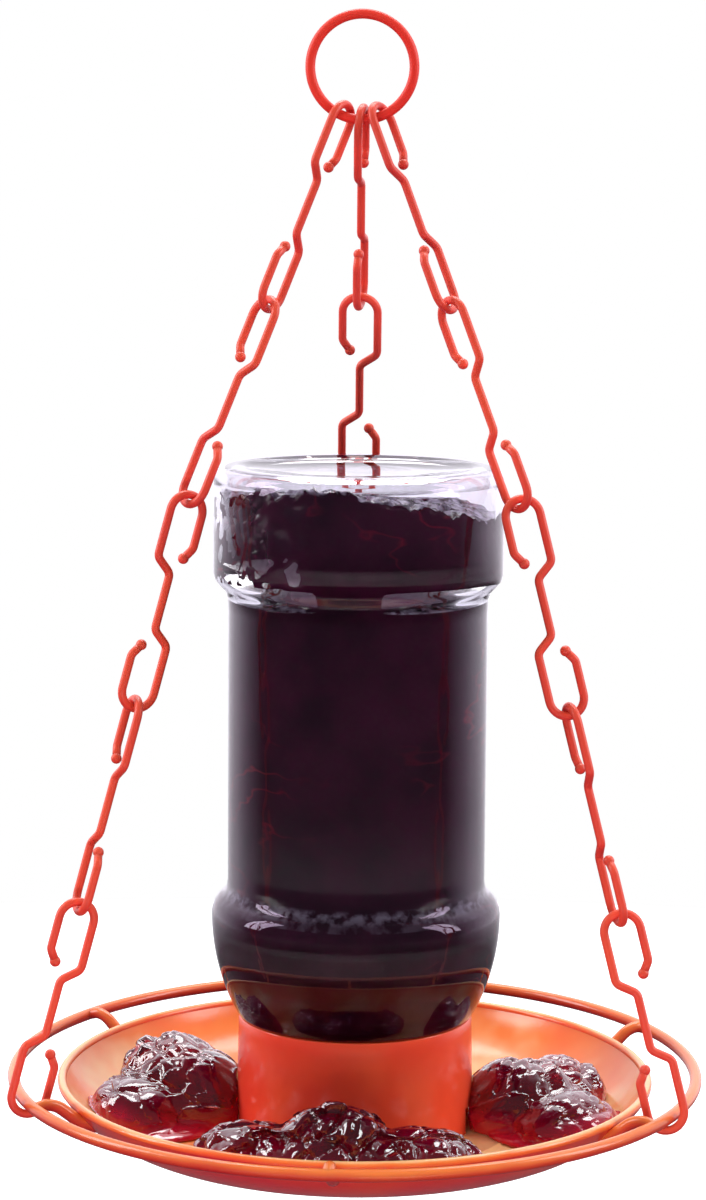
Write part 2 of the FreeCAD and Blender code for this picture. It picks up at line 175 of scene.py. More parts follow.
def mesh_of(bm, name, material, smooth=True):
    """A scene object from a bmesh, its faces turned outward."""
    mesh = bpy.data.meshes.new(name)
    bmesh.ops.recalc_face_normals(bm, faces=bm.faces)
    bm.to_mesh(mesh)
    bm.free()
    return finished(name, mesh, material, smooth)


def lathe(bm, outline, steps):
    """Turn a closed outline of (radius, height) in millimetres about Z."""
    rings = []
    for radius, height in outline:
        if radius < 1e-6:
            rings.append([bm.verts.new((0, 0, height * MM))])
            continue
        ring = []
        for step in range(steps):
            angle = 2 * math.pi * step / steps
            ring.append(bm.verts.new((radius * MM * math.cos(angle),
                                      radius * MM * math.sin(angle), height * MM)))
        rings.append(ring)
    for one, two in zip(rings, rings[1:] + rings[:1]):
        if len(one) == 1 and len(two) == 1:
            continue
        for step in range(steps):
            after = (step + 1) % steps
            corners = [one[step % len(one)], one[after % len(one)],
                       two[after % len(two)], two[step % len(two)]]
            face = [corner for place, corner in enumerate(corners)
                    if corner not in corners[:place]]
            bm.faces.new(face)


def arc(centre, radius, first, last, steps):
    """Points of an arc in an outline, its angles in degrees."""
    angles = [math.radians(first + (last - first) * step / steps) for step in range(steps + 1)]
    return [(centre[0] + radius * math.cos(angle), centre[1] + radius * math.sin(angle))
            for angle in angles]


def smooth_path(points, radii, closed=False, steps=8):
    """A 3-D polyline with its corners rounded by radius, in the points' own unit."""
    out = []
    count = len(points)
    for place, (corner, radius) in enumerate(zip(points, radii)):
        here = Vector(corner)
        if radius <= 0 or (not closed and place in (0, count - 1)):
            out.append(here)
            continue
        back = Vector(points[place - 1]) - here
        ahead = Vector(points[(place + 1) % count]) - here
        half = back.angle(ahead) / 2
        reach = min(radius / math.tan(half), back.length * 0.48, ahead.length * 0.48)
        start = here + back.normalized() * reach
        end = here + ahead.normalized() * reach
        for step in range(steps + 1):
            share = step / steps
            out.append(start.lerp(here, share).lerp(here.lerp(end, share), share))
    return out


def tube(bm, path, radius_at, sides=16, closed=False):
    """A round tube along a path in metres, with a radius for each share of its length."""
    count = len(path)
    tangents = []
    for place in range(count):
        if closed:
            tangent = path[(place + 1) % count] - path[place - 1]
        else:
            tangent = path[min(place + 1, count - 1)] - path[max(place - 1, 0)]
        tangents.append(tangent.normalized())
    normal = tangents[0].orthogonal().normalized()
    rings = []
    for place, tangent in enumerate(tangents):
        normal = (normal - tangent * normal.dot(tangent)).normalized()
        across = tangent.cross(normal)
        radius = radius_at(place / max(count - 1, 1))
        rings.append([bm.verts.new(path[place] + (normal * math.cos(angle)
                                                  + across * math.sin(angle)) * radius)
                      for angle in (2 * math.pi * side / sides for side in range(sides))])
    pairs = list(zip(rings, rings[1:])) + ([(rings[-1], rings[0])] if closed else [])
    for one, two in pairs:
        for side in range(sides):
            after = (side + 1) % sides
            bm.faces.new((one[side], one[after], two[after], two[side]))
    if not closed:
        bm.faces.new(rings[0][::-1])
        bm.faces.new(rings[-1])


# Materials

def new_material(name):
    """A material with its nodes, its links and its shader."""
    material = bpy.data.materials.new(name)
    material.use_nodes = True
    nodes = material.node_tree.nodes
    return material, nodes, material.node_tree.links, nodes["Principled BSDF"]


def object_noise(nodes, links, scale, detail=3.0, stretch=(1, 1, 1)):
    """Noise that is fixed to the object."""
    place = nodes.new("ShaderNodeTexCoord")
    mapping = nodes.new("ShaderNodeMapping")
    mapping.inputs["Scale"].default_value = stretch
    links.new(place.outputs["Object"], mapping.inputs["Vector"])
    texture = nodes.new("ShaderNodeTexNoise")
    texture.inputs["Scale"].default_value = scale
    texture.inputs["Detail"].default_value = detail
    links.new(mapping.outputs["Vector"], texture.inputs["Vector"])
    return texture


def ramp(nodes, links, source, stops):
    """Colours or a mask from a value, by (place, colour) stops."""
    band = nodes.new("ShaderNodeValToRGB")
    while len(band.color_ramp.elements) < len(stops):
        band.color_ramp.elements.new(0.5)
    for element, (place, colour) in zip(band.color_ramp.elements, stops):
        element.position = place
        element.color = (*colour, 1.0)
    links.new(source, band.inputs["Fac"])
    return band


def add_bump(nodes, links, source, shader, strength, distance):
    """Fine relief on top of the mesh's own shape; the distance is in metres."""
    bump = nodes.new("ShaderNodeBump")
    bump.inputs["Strength"].default_value = strength
    bump.inputs["Distance"].default_value = distance
    links.new(source, bump.inputs["Height"])
    links.new(bump.outputs["Normal"], shader.inputs["Normal"])


def plastic(name, tones, see_through, roughness):
    """Glossy moulded plastic with painted light and shade: its tones run from darker faces below (painted
    shade) to lighter faces on top (painted light).
    """
    material, nodes, links, shader = new_material(name)
    # The normal's height picks the tone: painted light on the faces on top, painted shade on the faces
    # below; the noise adds random tone.
    place = nodes.new("ShaderNodeTexCoord")
    facing = nodes.new("ShaderNodeSeparateXYZ")
    links.new(place.outputs["Normal"], facing.inputs["Vector"])
    drift = object_noise(nodes, links, 22.0)
    tilt = nodes.new("ShaderNodeMath")
    tilt.operation = "MULTIPLY_ADD"
    tilt.inputs[1].default_value = 0.5
    links.new(facing.outputs["Z"], tilt.inputs[0])
    links.new(drift.outputs["Fac"], tilt.inputs[2])
    colours = ramp(nodes, links, tilt.outputs["Value"], tones)
    links.new(colours.outputs["Color"], shader.inputs["Base Color"])
    shader.inputs["Roughness"].default_value = roughness
    shader.inputs["IOR"].default_value = 1.48
    shader.inputs["Subsurface Weight"].default_value = see_through
    shader.inputs["Subsurface Radius"].default_value = (1.0, 0.35, 0.12)
    shader.inputs["Subsurface Scale"].default_value = 0.005
    peel = object_noise(nodes, links, 420.0, 2.0)
    add_bump(nodes, links, peel.outputs["Fac"], shader, 0.06, 0.0004)
    return material


def glass():
    """Clear blown glass with a faint waviness."""
    material, nodes, links, shader = new_material("clear_glass")
    shader.inputs["Base Color"].default_value = (0.97, 0.95, 0.99, 1.0)
    shader.inputs["Transmission Weight"].default_value = 1.0
    shader.inputs["Roughness"].default_value = 0.0
    shader.inputs["IOR"].default_value = 1.46
    shader.inputs["Specular Tint"].default_value = (0.86, 0.62, 0.95, 1.0)
    wave = object_noise(nodes, links, 30.0, 1.0, (1, 1, 0.35))
    add_bump(nodes, links, wave.outputs["Fac"], shader, 0.12, 0.0006)
    return material


def thin_lines(nodes, links, scale, width, stretch=(1, 1, 1)):
    """A mask of thin wandering lines, where a noise crosses its middle value."""
    texture = object_noise(nodes, links, scale, 3.0, stretch)
    return ramp(nodes, links, texture.outputs["Fac"],
                [(0.5 - width, BLACK), (0.5, WHITE), (0.5 + width, BLACK)])


def multiplied(nodes, links, one, two):
    """Two masks multiplied."""
    product = nodes.new("ShaderNodeMath")
    product.operation = "MULTIPLY"
    links.new(one, product.inputs[0])
    links.new(two, product.inputs[1])
    return product.outputs["Value"]


def blend(nodes, links, factor, under, over):
    """One colour laid over another by a factor."""
    mix = nodes.new("ShaderNodeMix")
    mix.data_type = "RGBA"
    links.new(factor, mix.inputs["Factor"])
    links.new(under, mix.inputs["A"])
    mix.inputs["B"].default_value = (*over, 1.0)
    return mix.outputs["Result"]


def jar_jelly():
    """Jelly against the glass: nearly black, with red threads and specks of froth on its upward faces,
    their silver a painted sheen.
    """
    material, nodes, links, shader = new_material("jar_jelly")
    drift = object_noise(nodes, links, 45.0)
    colours = ramp(nodes, links, drift.outputs["Fac"], [(0.3, (0.020, 0.0025, 0.011)),
                                                        (0.75, (0.052, 0.005, 0.024))])
    folds = thin_lines(nodes, links, 26.0, 0.014, (1, 1, 2.2))
    patches = object_noise(nodes, links, 16.0, 2.0)
    where = ramp(nodes, links, patches.outputs["Fac"], [(0.50, BLACK), (0.66, WHITE)])
    broken = multiplied(nodes, links, folds.outputs["Color"], where.outputs["Color"])
    folded = blend(nodes, links, broken, colours.outputs["Color"], (0.19, 0.005, 0.022))
    # Silver on the upward faces only: specks of froth, coloured with a painted sheen that stands in for
    # their gloss.
    place = nodes.new("ShaderNodeTexCoord")
    facing = nodes.new("ShaderNodeSeparateXYZ")
    links.new(place.outputs["Normal"], facing.inputs["Vector"])
    upward = ramp(nodes, links, facing.outputs["Z"], [(0.35, BLACK), (0.7, WHITE)])
    froth = object_noise(nodes, links, 260.0, 4.0)
    specks = ramp(nodes, links, froth.outputs["Fac"], [(0.42, BLACK), (0.6, WHITE)])
    froth_and_painted_sheen = multiplied(nodes, links, upward.outputs["Color"], specks.outputs["Color"])
    frosted = blend(nodes, links, froth_and_painted_sheen, folded, (0.46, 0.40, 0.55))
    links.new(frosted, shader.inputs["Base Color"])
    shader.inputs["Roughness"].default_value = 0.16
    shader.inputs["IOR"].default_value = 1.4
    shader.inputs["Specular IOR Level"].default_value = 0.2
    lumps = object_noise(nodes, links, 200.0, 3.0)
    add_bump(nodes, links, lumps.outputs["Fac"], shader, 0.08, 0.0005)
    return material


def dish_jelly():
    """Wet grape jelly in the open: dark where it is thick, red where light comes through, with a painted
    glow of bright red at its thin foot.
    """
    material, nodes, links, shader = new_material("dish_jelly")
    drift = object_noise(nodes, links, 60.0)
    colours = ramp(nodes, links, drift.outputs["Fac"], [(0.35, (0.46, 0.002, 0.050)),
                                                        (0.7, (0.88, 0.006, 0.125))])
    # Near the dish floor the base colour turns bright red and the transmission drops, so the thin foot
    # shows a painted glow standing for light coming through it.
    foot = nodes.new("ShaderNodeAttribute")
    foot.attribute_name = "depth"
    thin = nodes.new("ShaderNodeMapRange")
    thin.inputs["From Max"].default_value = FOOT_DEPTH * MM
    thin.inputs["To Min"].default_value = 1.0
    thin.inputs["To Max"].default_value = 0.0
    links.new(foot.outputs["Fac"], thin.inputs["Value"])
    lit = blend(nodes, links, thin.outputs["Result"], colours.outputs["Color"], (0.80, 0.012, 0.030))
    links.new(lit, shader.inputs["Base Color"])
    clear = nodes.new("ShaderNodeMath")
    clear.operation = "MULTIPLY_ADD"
    clear.inputs[1].default_value = -0.55
    clear.inputs[2].default_value = 0.88
    links.new(thin.outputs["Result"], clear.inputs[0])
    links.new(clear.outputs["Value"], shader.inputs["Transmission Weight"])
    shader.inputs["Roughness"].default_value = 0.03
    shader.inputs["IOR"].default_value = 1.4
    shader.inputs["Coat Weight"].default_value = 1.0
    shader.inputs["Coat Roughness"].default_value = 0.03
    shader.inputs["Coat IOR"].default_value = 1.6
    absorb = nodes.new("ShaderNodeVolumeAbsorption")
    absorb.inputs["Color"].default_value = (0.90, 0.01, 0.38, 1.0)
    absorb.inputs["Density"].default_value = 430.0
    links.new(absorb.outputs["Volume"], nodes["Material Output"].inputs["Volume"])
    lumps = object_noise(nodes, links, 170.0, 2.0)
    add_bump(nodes, links, lumps.outputs["Fac"], shader, 0.3, 0.0012)
    return material


# The tones run by facing: the low stops are painted shade on faces below, the high stops painted light on
# faces on top; the tray's palest top tone is a painted reflection of the bright surroundings.
RING_PLASTIC = plastic("ring_plastic", [(0.1, (0.80, 0.028, 0.022)), (0.9, (0.90, 0.052, 0.028))],
                       0.1, 0.45)
LINK_PLASTIC = plastic("link_plastic", [(0.1, (0.68, 0.040, 0.036)), (0.9, (0.82, 0.086, 0.040))],
                       0.1, 0.40)
TRAY_PLASTIC = plastic("tray_plastic", [(0.05, (0.66, 0.022, 0.035)), (0.35, (0.74, 0.055, 0.028)),
                                        (0.65, (0.80, 0.130, 0.028)), (0.85, (0.83, 0.215, 0.050)),
                                        (1.0, (0.86, 0.450, 0.200))], 0.2, 0.20)
PERCH_PLASTIC = plastic("perch_plastic", [(0.1, (0.46, 0.014, 0.020)), (0.5, (0.60, 0.060, 0.028)),
                                          (0.95, (0.82, 0.200, 0.045))], 0.15, 0.22)
COLLAR_PLASTIC = plastic("collar_plastic", [(0.3, (0.76, 0.044, 0.029)),
                                            (0.7, (0.90, 0.100, 0.038))], 0.2, 0.22)
CLEAR_GLASS = glass()
JAR_JELLY = jar_jelly()
DISH_JELLY = dish_jelly()


# Camera, lights and floor

def make_camera():
    """The camera at the photograph's place and angle."""
    turn = Matrix.Rotation(math.radians(CAMERA_TURN), 4, "Z")
    data = bpy.data.cameras.new("camera")
    data.sensor_fit = "VERTICAL"
    data.sensor_height = SENSOR
    data.lens = FOCAL_PIXELS * SENSOR / IMAGE_HEIGHT
    camera = bpy.data.objects.new("camera", data)
    bpy.context.collection.objects.link(camera)
    camera.location = turn @ (Vector((CAMERA_RIGHT, -CAMERA_BACK, CAMERA_UP)) * MM)
    down = Matrix.Rotation(math.radians(90 - CAMERA_TILT), 4, "X")
    roll = Matrix.Rotation(math.radians(CAMERA_ROLL), 4, "Z")
    camera.rotation_euler = (turn @ down @ roll).to_euler()
    bpy.context.scene.camera = camera


def make_light(name, place, size, power, mirrored=True):
    """A soft rectangular light; one that isn't mirrored leaves no patch on the glass."""
    data = bpy.data.lights.new(name, "AREA")
    data.shape = "RECTANGLE"
    data.size, data.size_y = size
    data.energy = power
    light = bpy.data.objects.new(name, data)
    bpy.context.collection.objects.link(light)
    light.location = place
    light.visible_camera = False
    light.visible_glossy = mirrored
    light.visible_transmission = mirrored
    toward = Vector(LIGHT_TARGET) - light.location
    light.rotation_euler = toward.to_track_quat("-Z", "Y").to_euler()


def make_world():
    """White behind the feeder and dim in front of it, so the dark jar shows no haze."""
    world = bpy.data.worlds.new("studio")
    bpy.context.scene.world = world
    world.use_nodes = True
    nodes = world.node_tree.nodes
    links = world.node_tree.links
    around = nodes["Background"]
    place = nodes.new("ShaderNodeTexCoord")
    parts = nodes.new("ShaderNodeSeparateXYZ")
    links.new(place.outputs["Generated"], parts.inputs["Vector"])
    band = nodes.new("ShaderNodeMapRange")
    band.inputs["From Min"].default_value = 0.0
    band.inputs["From Max"].default_value = 0.6
    band.inputs["To Min"].default_value = DIM_LIGHT
    band.inputs["To Max"].default_value = BACK_LIGHT
    links.new(parts.outputs["Y"], band.inputs["Value"])
    below = nodes.new("ShaderNodeMapRange")
    below.inputs["From Min"].default_value = -0.32
    below.inputs["From Max"].default_value = -0.12
    below.inputs["To Min"].default_value = 0.10
    links.new(parts.outputs["Z"], below.inputs["Value"])
    both = nodes.new("ShaderNodeMath")
    both.operation = "MULTIPLY"
    links.new(band.outputs["Result"], both.inputs[0])
    links.new(below.outputs["Result"], both.inputs[1])
    links.new(both.outputs["Value"], around.inputs["Strength"])
    white = nodes.new("ShaderNodeBackground")
    white.inputs["Strength"].default_value = 1.0
    seen = nodes.new("ShaderNodeLightPath")
    through = nodes.new("ShaderNodeBackground")
    softer = nodes.new("ShaderNodeMath")
    softer.operation = "MULTIPLY"
    softer.inputs[1].default_value = THROUGH_GLASS / BACK_LIGHT
    links.new(both.outputs["Value"], softer.inputs[0])
    links.new(softer.outputs["Value"], through.inputs["Strength"])
    shown = around
    for kind, shade, colour in (("Is Transmission Ray", through, (0.90, 0.87, 1.0, 1.0)),
                                ("Is Camera Ray", white, (1.0, 1.0, 1.0, 1.0))):
        shade.inputs["Color"].default_value = colour
        choice = nodes.new("ShaderNodeMixShader")
        links.new(seen.outputs[kind], choice.inputs["Fac"])
        links.new(shown.outputs[0], choice.inputs[1])
        links.new(shade.outputs["Background"], choice.inputs[2])
        shown = choice
    links.new(shown.outputs["Shader"], nodes["World Output"].inputs["Surface"])
    around.inputs["Color"].default_value = (0.95, 0.92, 1.0, 1.0)


def make_studio():
    """World, pale floor far below the feeder, and five soft lights."""
    make_world()
    bpy.context.scene.view_settings.view_transform = "Standard"
    material, nodes, links, shader = new_material("studio_floor")
    patch = object_noise(nodes, links, 1.5)
    tones = ramp(nodes, links, patch.outputs["Fac"], [(0.3, (0.92, 0.92, 0.92)),
                                                      (0.7, (0.94, 0.94, 0.94))])
    links.new(tones.outputs["Color"], shader.inputs["Base Color"])
    shader.inputs["Roughness"].default_value = 0.9
    shader.inputs["Specular IOR Level"].default_value = 0.0
    shader.inputs["Emission Color"].default_value = (1.0, 1.0, 1.0, 1.0)
    shader.inputs["Emission Strength"].default_value = FLOOR_GLOW
    bm = bmesh.new()
    bmesh.ops.create_circle(bm, cap_ends=True, segments=96, radius=FLOOR_REACH)
    bmesh.ops.translate(bm, verts=bm.verts, vec=(0, 0, FLOOR_DEPTH))
    floor = mesh_of(bm, "floor", material, smooth=False)
    floor.visible_glossy = False
    floor.visible_diffuse = False
    make_light("top", (0.0, 0.7, 1.5), (1.2, 0.6), 17.0)
    make_light("front", (-0.2, -1.5, 1.5), (1.0, 0.6), 8.0, mirrored=False)
    make_light("left", (-1.3, -0.1, 0.8), (0.45, 1.1), 14.0)
    make_light("right", (1.3, -0.1, 0.8), (0.45, 1.1), 12.0)
    make_light("under", (0.0, -0.9, -0.25), (1.2, 0.3), 10.0, mirrored=False)


# Tray

def wall_radius():
    """Radius of the arc that the dish's wall is part of."""
    across = RIM_RADIUS - FLOOR_RADIUS
    rise = RIM_HEIGHT - FLOOR_HEIGHT
    return (across ** 2 + rise ** 2) / (2 * rise)


def wall_points(radius, steps, rising):
    """Points of the dish's wall between its floor and its rim."""
    centre = (FLOOR_RADIUS, FLOOR_HEIGHT + wall_radius())
    top = math.degrees(math.asin((RIM_HEIGHT - centre[1]) / radius))
    points = arc(centre, radius, -90, top, steps)
    return points if rising else points[::-1]


def make_dish():
    """The round dish with its rolled lip, its foot ring, the pad below and the bead inside."""
    outside = wall_points(wall_radius(), 24, True)
    inside = wall_points(wall_radius() - WALL, 24, False)
    lip = arc(((outside[-1][0] + inside[0][0]) / 2, RIM_HEIGHT + 0.3), LIP_RADIUS, -20, 200, 10)
    foot_in = FOOT_RADIUS - FOOT_WIDTH / 2
    foot_out = FOOT_RADIUS + FOOT_WIDTH / 2
    top = FLOOR_HEIGHT + WALL
    outline = [(0, 0), (PAD_RADIUS - 0.4, 0), (PAD_RADIUS, 0.4), (PAD_RADIUS, FLOOR_HEIGHT)]
    outline += [(foot_in - 0.5, FLOOR_HEIGHT), (foot_in, FLOOR_HEIGHT - 0.5),
                (foot_in, 0.4), (foot_in + 0.4, 0), (foot_out - 0.4, 0), (foot_out, 0.4),
                (foot_out, FLOOR_HEIGHT - 0.5), (foot_out + 0.6, FLOOR_HEIGHT)]
    outline += outside + lip + inside
    outline += [(BEAD_RADIUS + 1, top), (BEAD_RADIUS + 0.4, top + 0.35),
                (BEAD_RADIUS - 0.4, top + 0.35), (BEAD_RADIUS - 1, top), (0, top)]
    bm = bmesh.new()
    lathe(bm, outline, TRAY_STEPS)
    dish = mesh_of(bm, "dish", TRAY_PLASTIC)
    sharpen(dish)
    return dish


def make_collar():
    """The upright collar with its ledge and its four ports."""
    top = FLOOR_HEIGHT + WALL
    outer = COLLAR_BORE + COLLAR_WALL
    outline = [(COLLAR_BORE, top), (outer + COLLAR_FLARE, top)]
    outline += [(outer + COLLAR_FLARE * (1 - share / 12), top + (COLLAR_HEIGHT - top - 0.7)
                 * share / 12) for share in range(1, 12)]
    outline += [(outer, COLLAR_HEIGHT - 0.7), (outer - 0.2, COLLAR_HEIGHT - 0.15),
                (outer - 0.6, COLLAR_HEIGHT), (COLLAR_BORE + 0.5, COLLAR_HEIGHT),
                (COLLAR_BORE, COLLAR_HEIGHT - 0.5), (COLLAR_BORE, LEDGE_HEIGHT),
                (COLLAR_BORE - LEDGE_WIDTH, LEDGE_HEIGHT),
                (COLLAR_BORE - LEDGE_WIDTH, LEDGE_HEIGHT - LEDGE_THICKNESS),
                (COLLAR_BORE, LEDGE_HEIGHT - LEDGE_THICKNESS)]
    bm = bmesh.new()
    lathe(bm, outline, TRAY_STEPS)
    collar = mesh_of(bm, "collar", COLLAR_PLASTIC)
    cut_ports(collar)
    sharpen(collar)
    return collar


def cut_ports(collar):
    """Cut the four slots through the collar's foot."""
    top = FLOOR_HEIGHT + WALL
    height = LEDGE_HEIGHT - LEDGE_THICKNESS - top
    outer = COLLAR_BORE + COLLAR_WALL + COLLAR_FLARE
    for turn in (0, 90):
        bm = bmesh.new()
        bmesh.ops.create_cube(bm, size=1.0)
        bmesh.ops.scale(bm, vec=Vector((2 * outer + 5, PORT_WIDTH, height + 1)) * MM,
                        verts=bm.verts)
        bmesh.ops.translate(bm, vec=(0, 0, (top + height / 2 - 0.5) * MM), verts=bm.verts)
        bmesh.ops.rotate(bm, matrix=Matrix.Rotation(math.radians(turn), 3, "Z"), verts=bm.verts)
        cutter = mesh_of(bm, "port_cutter", COLLAR_PLASTIC, smooth=False)
        modifier = collar.modifiers.new("port", "BOOLEAN")
        modifier.operation = "DIFFERENCE"
        modifier.object = cutter
        modifier.solver = "EXACT"
        bpy.context.view_layer.objects.active = collar
        bpy.ops.object.modifier_apply(modifier=modifier.name)
        bpy.data.objects.remove(cutter)


def sharpen(thing):
    """Mark the edges of a mesh that are real corners, so smooth shading stops there."""
    bm = bmesh.new()
    bm.from_mesh(thing.data)
    for edge in bm.edges:
        if len(edge.link_faces) == 2 and edge.calc_face_angle() > CORNER:
            edge.smooth = False
    bm.to_mesh(thing.data)
    bm.free()


def circle_path(radius, height, steps):
    """A level circle in metres, from millimetres."""
    return [Vector((radius * math.cos(2 * math.pi * step / steps),
                    radius * math.sin(2 * math.pi * step / steps), height)) * MM
            for step in range(steps)]


def make_perch():
    """The perch ring and its six arms."""
    bm = bmesh.new()
    tube(bm, circle_path(PERCH_RADIUS, PERCH_HEIGHT, PERCH_STEPS), lambda share: PERCH_WIRE * MM, 18, True)
    for index in range(ARM_COUNT):
        angle = math.radians(ARM_START + index * 360 / ARM_COUNT)
        outward = Vector((math.cos(angle), math.sin(angle), 0))
        stations = [(PERCH_RADIUS, PERCH_HEIGHT), (PERCH_RADIUS - 4.0, PERCH_HEIGHT + 1.2),
                    (PERCH_RADIUS - 8.0, PERCH_HEIGHT), (100.0, RIM_HEIGHT - 3.8),
                    (92.5, RIM_HEIGHT - 6.4)]
        path = [(outward * reach + Vector((0, 0, height))) * MM for reach, height in stations]
        path = smooth_path(path, [0, 6 * MM, 9 * MM, 9 * MM, 0], steps=8)
        tube(bm, path, lambda share: (PERCH_WIRE + ARM_FLARE * share ** 3) * MM, 14)
    # The arms' ends stay in the middle of the dish's wall, so that they never show inside it
    middle = wall_radius() - WALL / 2
    for vert in bm.verts:
        reach = math.hypot(vert.co.x, vert.co.y) / MM
        aside = reach - FLOOR_RADIUS
        down = vert.co.z / MM - FLOOR_HEIGHT - wall_radius()
        depth = math.hypot(aside, down)
        if reach < RIM_RADIUS and depth < middle:
            spread = (FLOOR_RADIUS + aside * middle / depth) / reach
            vert.co.x *= spread
            vert.co.y *= spread
            vert.co.z += down * (middle / depth - 1) * MM
    perch = mesh_of(bm, "tray_perch", PERCH_PLASTIC)
    sharpen(perch)
    return perch


# Ring and links

def make_ring():
    """The hanging ring, upright, where its solid is."""
    low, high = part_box("hanging_ring")
    centre = (Vector(low) + Vector(high)) / 2
    path = [centre + Vector((RING_RADIUS * MM * math.cos(angle), 0, RING_RADIUS * MM
                             * math.sin(angle)))
            for angle in (2 * math.pi * step / RING_STEPS for step in range(RING_STEPS))]
    bm = bmesh.new()
    tube(bm, path, lambda share: RING_WIRE * MM, 20, True)
    return mesh_of(bm, "ring_wire", RING_PLASTIC)


def link_path():
    """The S-shaped line of one link in its own plane, in metres: across, 0, along."""
    loop = LINK_HALF - LOOP_RADIUS
    half = [(LOOP_RADIUS - TIP_INSET, loop - RETURN - TIP_RISE), (LOOP_RADIUS, loop - RETURN)]
    half += arc((0, loop), LOOP_RADIUS, 0, 180, 18)
    half += [(-LOOP_RADIUS, SHANK_HALF + JOG), (0, SHANK_HALF)]
    other = [(-across, -along) for across, along in reversed(half)]
    points = [Vector((across, 0, along)) * MM for across, along in half + other]
    bend = LINK_BEND * MM
    radii = [0, bend] + [0] * 19 + [bend, bend]
    return smooth_path(points, radii + radii[::-1], steps=6)


def make_link(name, joint, azimuth, degrees):
    """One S-shaped link on its swivel's line, turned about it by degrees, with a ball on each tip."""
    line = Vector(joint["axis"]).normalized()
    centre = Vector(joint["pos_m"])
    angle = math.radians(azimuth)
    along = Vector((-math.sin(angle), math.cos(angle), 0))
    outward = along.cross(line).normalized()
    side = line.cross(outward)
    across = outward * math.cos(math.radians(degrees)) + side * math.sin(math.radians(degrees))
    facing = line.cross(across)
    turn = Matrix((across, facing, line)).transposed()
    path = link_path()
    ends = [turn @ path[0] + centre, turn @ path[-1] + centre]
    bm = bmesh.new()
    tube(bm, [turn @ point + centre for point in path], lambda share: LINK_WIRE * MM, 16)
    for end in ends:
        ball = bmesh.ops.create_uvsphere(bm, u_segments=20, v_segments=14, radius=LINK_TIP * MM)
        bmesh.ops.translate(bm, verts=ball["verts"], vec=end)
    return mesh_of(bm, name + "_wire", LINK_PLASTIC)


# Jar

def jar_outside():
    """Half outline of the glass outside, from the mouth below up to the base."""
    points = [(36.9, 16.3), (36.9, 43.2), (37.4, 43.9), (39.6, 44.0), (40.3, 44.8)]
    points += arc((-22.9, 78.5), 71.7, -27.5, 0, 16)[1:]
    points += arc((40.9, 78.5), 7.9, 0, 60, 8)[1:]
    points += [(43.8, 87.2), (43.4, 90.0), (43.4, 120.0), (43.4, 150.0), (43.4, 182.0),
               (43.6, 186.0), (44.4, 188.6), (46.6, 190.8), (48.0, 192.6), (48.5, 195.0),
               (48.5, 210.0), (48.5, 225.5)]
    points += arc((44.2, 225.9), 4.3, 0, 88, 8)[1:]
    points += [(41.0, 230.2), (38.6, 230.1), (37.4, 229.5), (20.0, 228.0), (0, 227.6)]
    return points


def jar_inside():
    """Half outline of the hollow, from the mouth up."""
    points = [(33.9, 16.3), (33.9, 45.0), (35.5, 47.5), (37.6, 49.5)]
    points += [(42.0, 58.0), (44.4, 66.0), (45.6, 74.0), (45.5, 80.0), (43.6, 84.5),
               (41.0, 88.5), (40.4, 93.0), (40.4, 120.0), (40.4, 150.0), (40.4, 182.0),
               (40.6, 188.0), (42.0, 192.5), (44.6, 196.0), (45.6, 200.0), (45.6, 212.0),
               (45.8, 223.5), (45.4, 226.0), (44.0, 227.6), (41.0, 228.2), (37.0, 227.4),
               (20.0, 226.1), (0, 225.6)]
    return points


def make_jar():
    """The blown glass jar, mouth down."""
    bm = bmesh.new()
    lathe(bm, jar_outside() + jar_inside()[::-1], JAR_STEPS)
    return mesh_of(bm, "jar_glass", CLEAR_GLASS)


def shard(place, scale, depth):
    """How far a broken face of the jelly stands out: each cell is a tilted flat facet."""
    distances, centres = noise.voronoi(place * scale)
    tilt = noise.cell_vector(centres[0] * 7.3) - Vector((0.5, 0.5, 0.5))
    crease = min(distances[1] - distances[0], 0.18) / 0.18 - 1.0
    return ((place * scale - centres[0]).dot(tilt) + 0.25 * crease) * depth


def jelly_top(x, y):
    """Height of the slumped jelly over a place, in metres: it peaks left of the middle."""
    place = Vector((x, y, 0.0))
    aside = x - JELLY_PEAK * MM
    fall = RIGHT_FALL * aside if aside > 0 else -LEFT_FALL * aside
    rough = 1.0 if aside > 0 else 1.5
    lumps = noise.noise(place * 70.0) * 0.0020 + shard(place, 100.0, 0.0040)
    lumps += shard(place, 260.0, 0.0016)
    under_base = (BASE_UNDERSIDE + BASE_RISE * (place.length / (BASE_RADIUS * MM)) ** 2) * MM
    return min(JELLY_CREST * MM - fall + lumps * rough, under_base)


def groove(height):
    """Depth of the ring of air that the jelly leaves under the jar's heel."""
    share = (height - GROOVE_HEIGHT) / GROOVE_HALF
    return GROOVE_DEPTH * math.sqrt(max(1 - share ** 2, 0))


